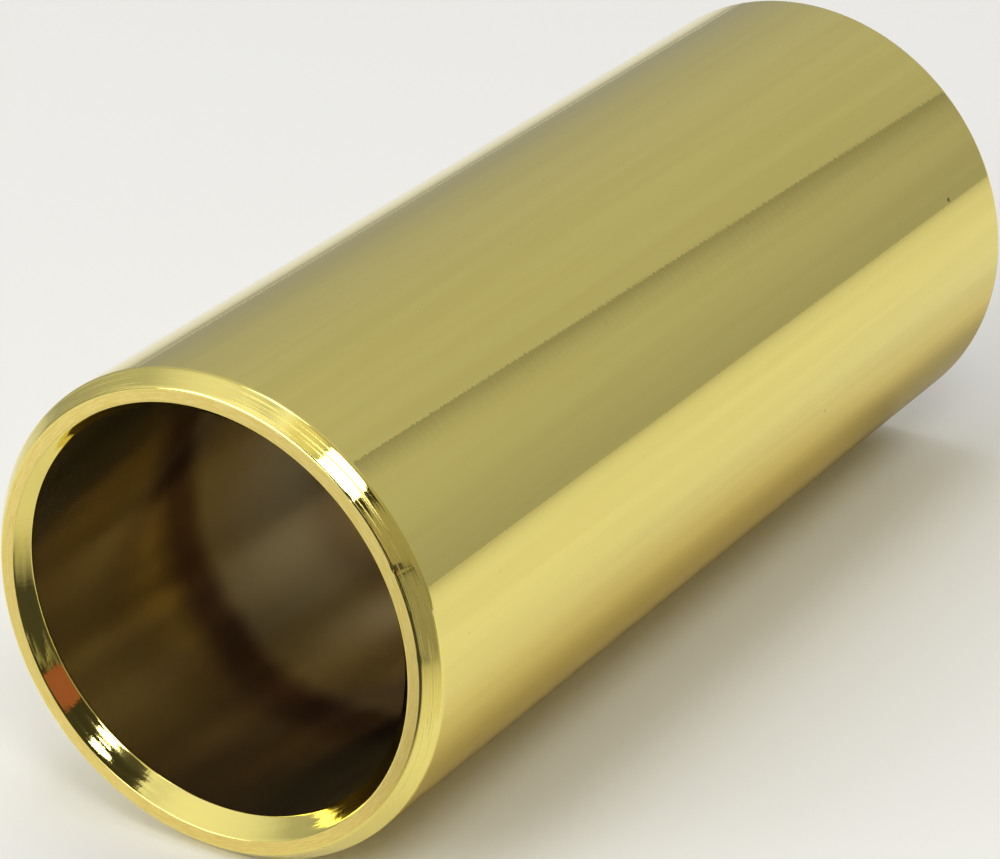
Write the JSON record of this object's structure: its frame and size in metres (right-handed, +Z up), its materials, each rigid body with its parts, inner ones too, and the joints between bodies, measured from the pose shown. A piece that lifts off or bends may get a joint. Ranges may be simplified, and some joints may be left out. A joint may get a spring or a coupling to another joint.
{
  "type": "guitar slide",
  "caption": "Polished brass finger tube for slide guitar: a plain open-ended cylinder with chamfered outer edges and countersunk bore mouths.",
  "frame": {"origin": "on the surface that the tube lies on, under the middle of its length", "axes": "+Y along the tube's axis, +Z up from the surface, +X across the tube"},
  "size_m": [0.025, 0.0606, 0.025],
  "materials": {
    "polished_brass": "polished"
  },
  "bodies": {
    "root": {"slide_tube": "polished_brass"}
  },
  "joints": []
}
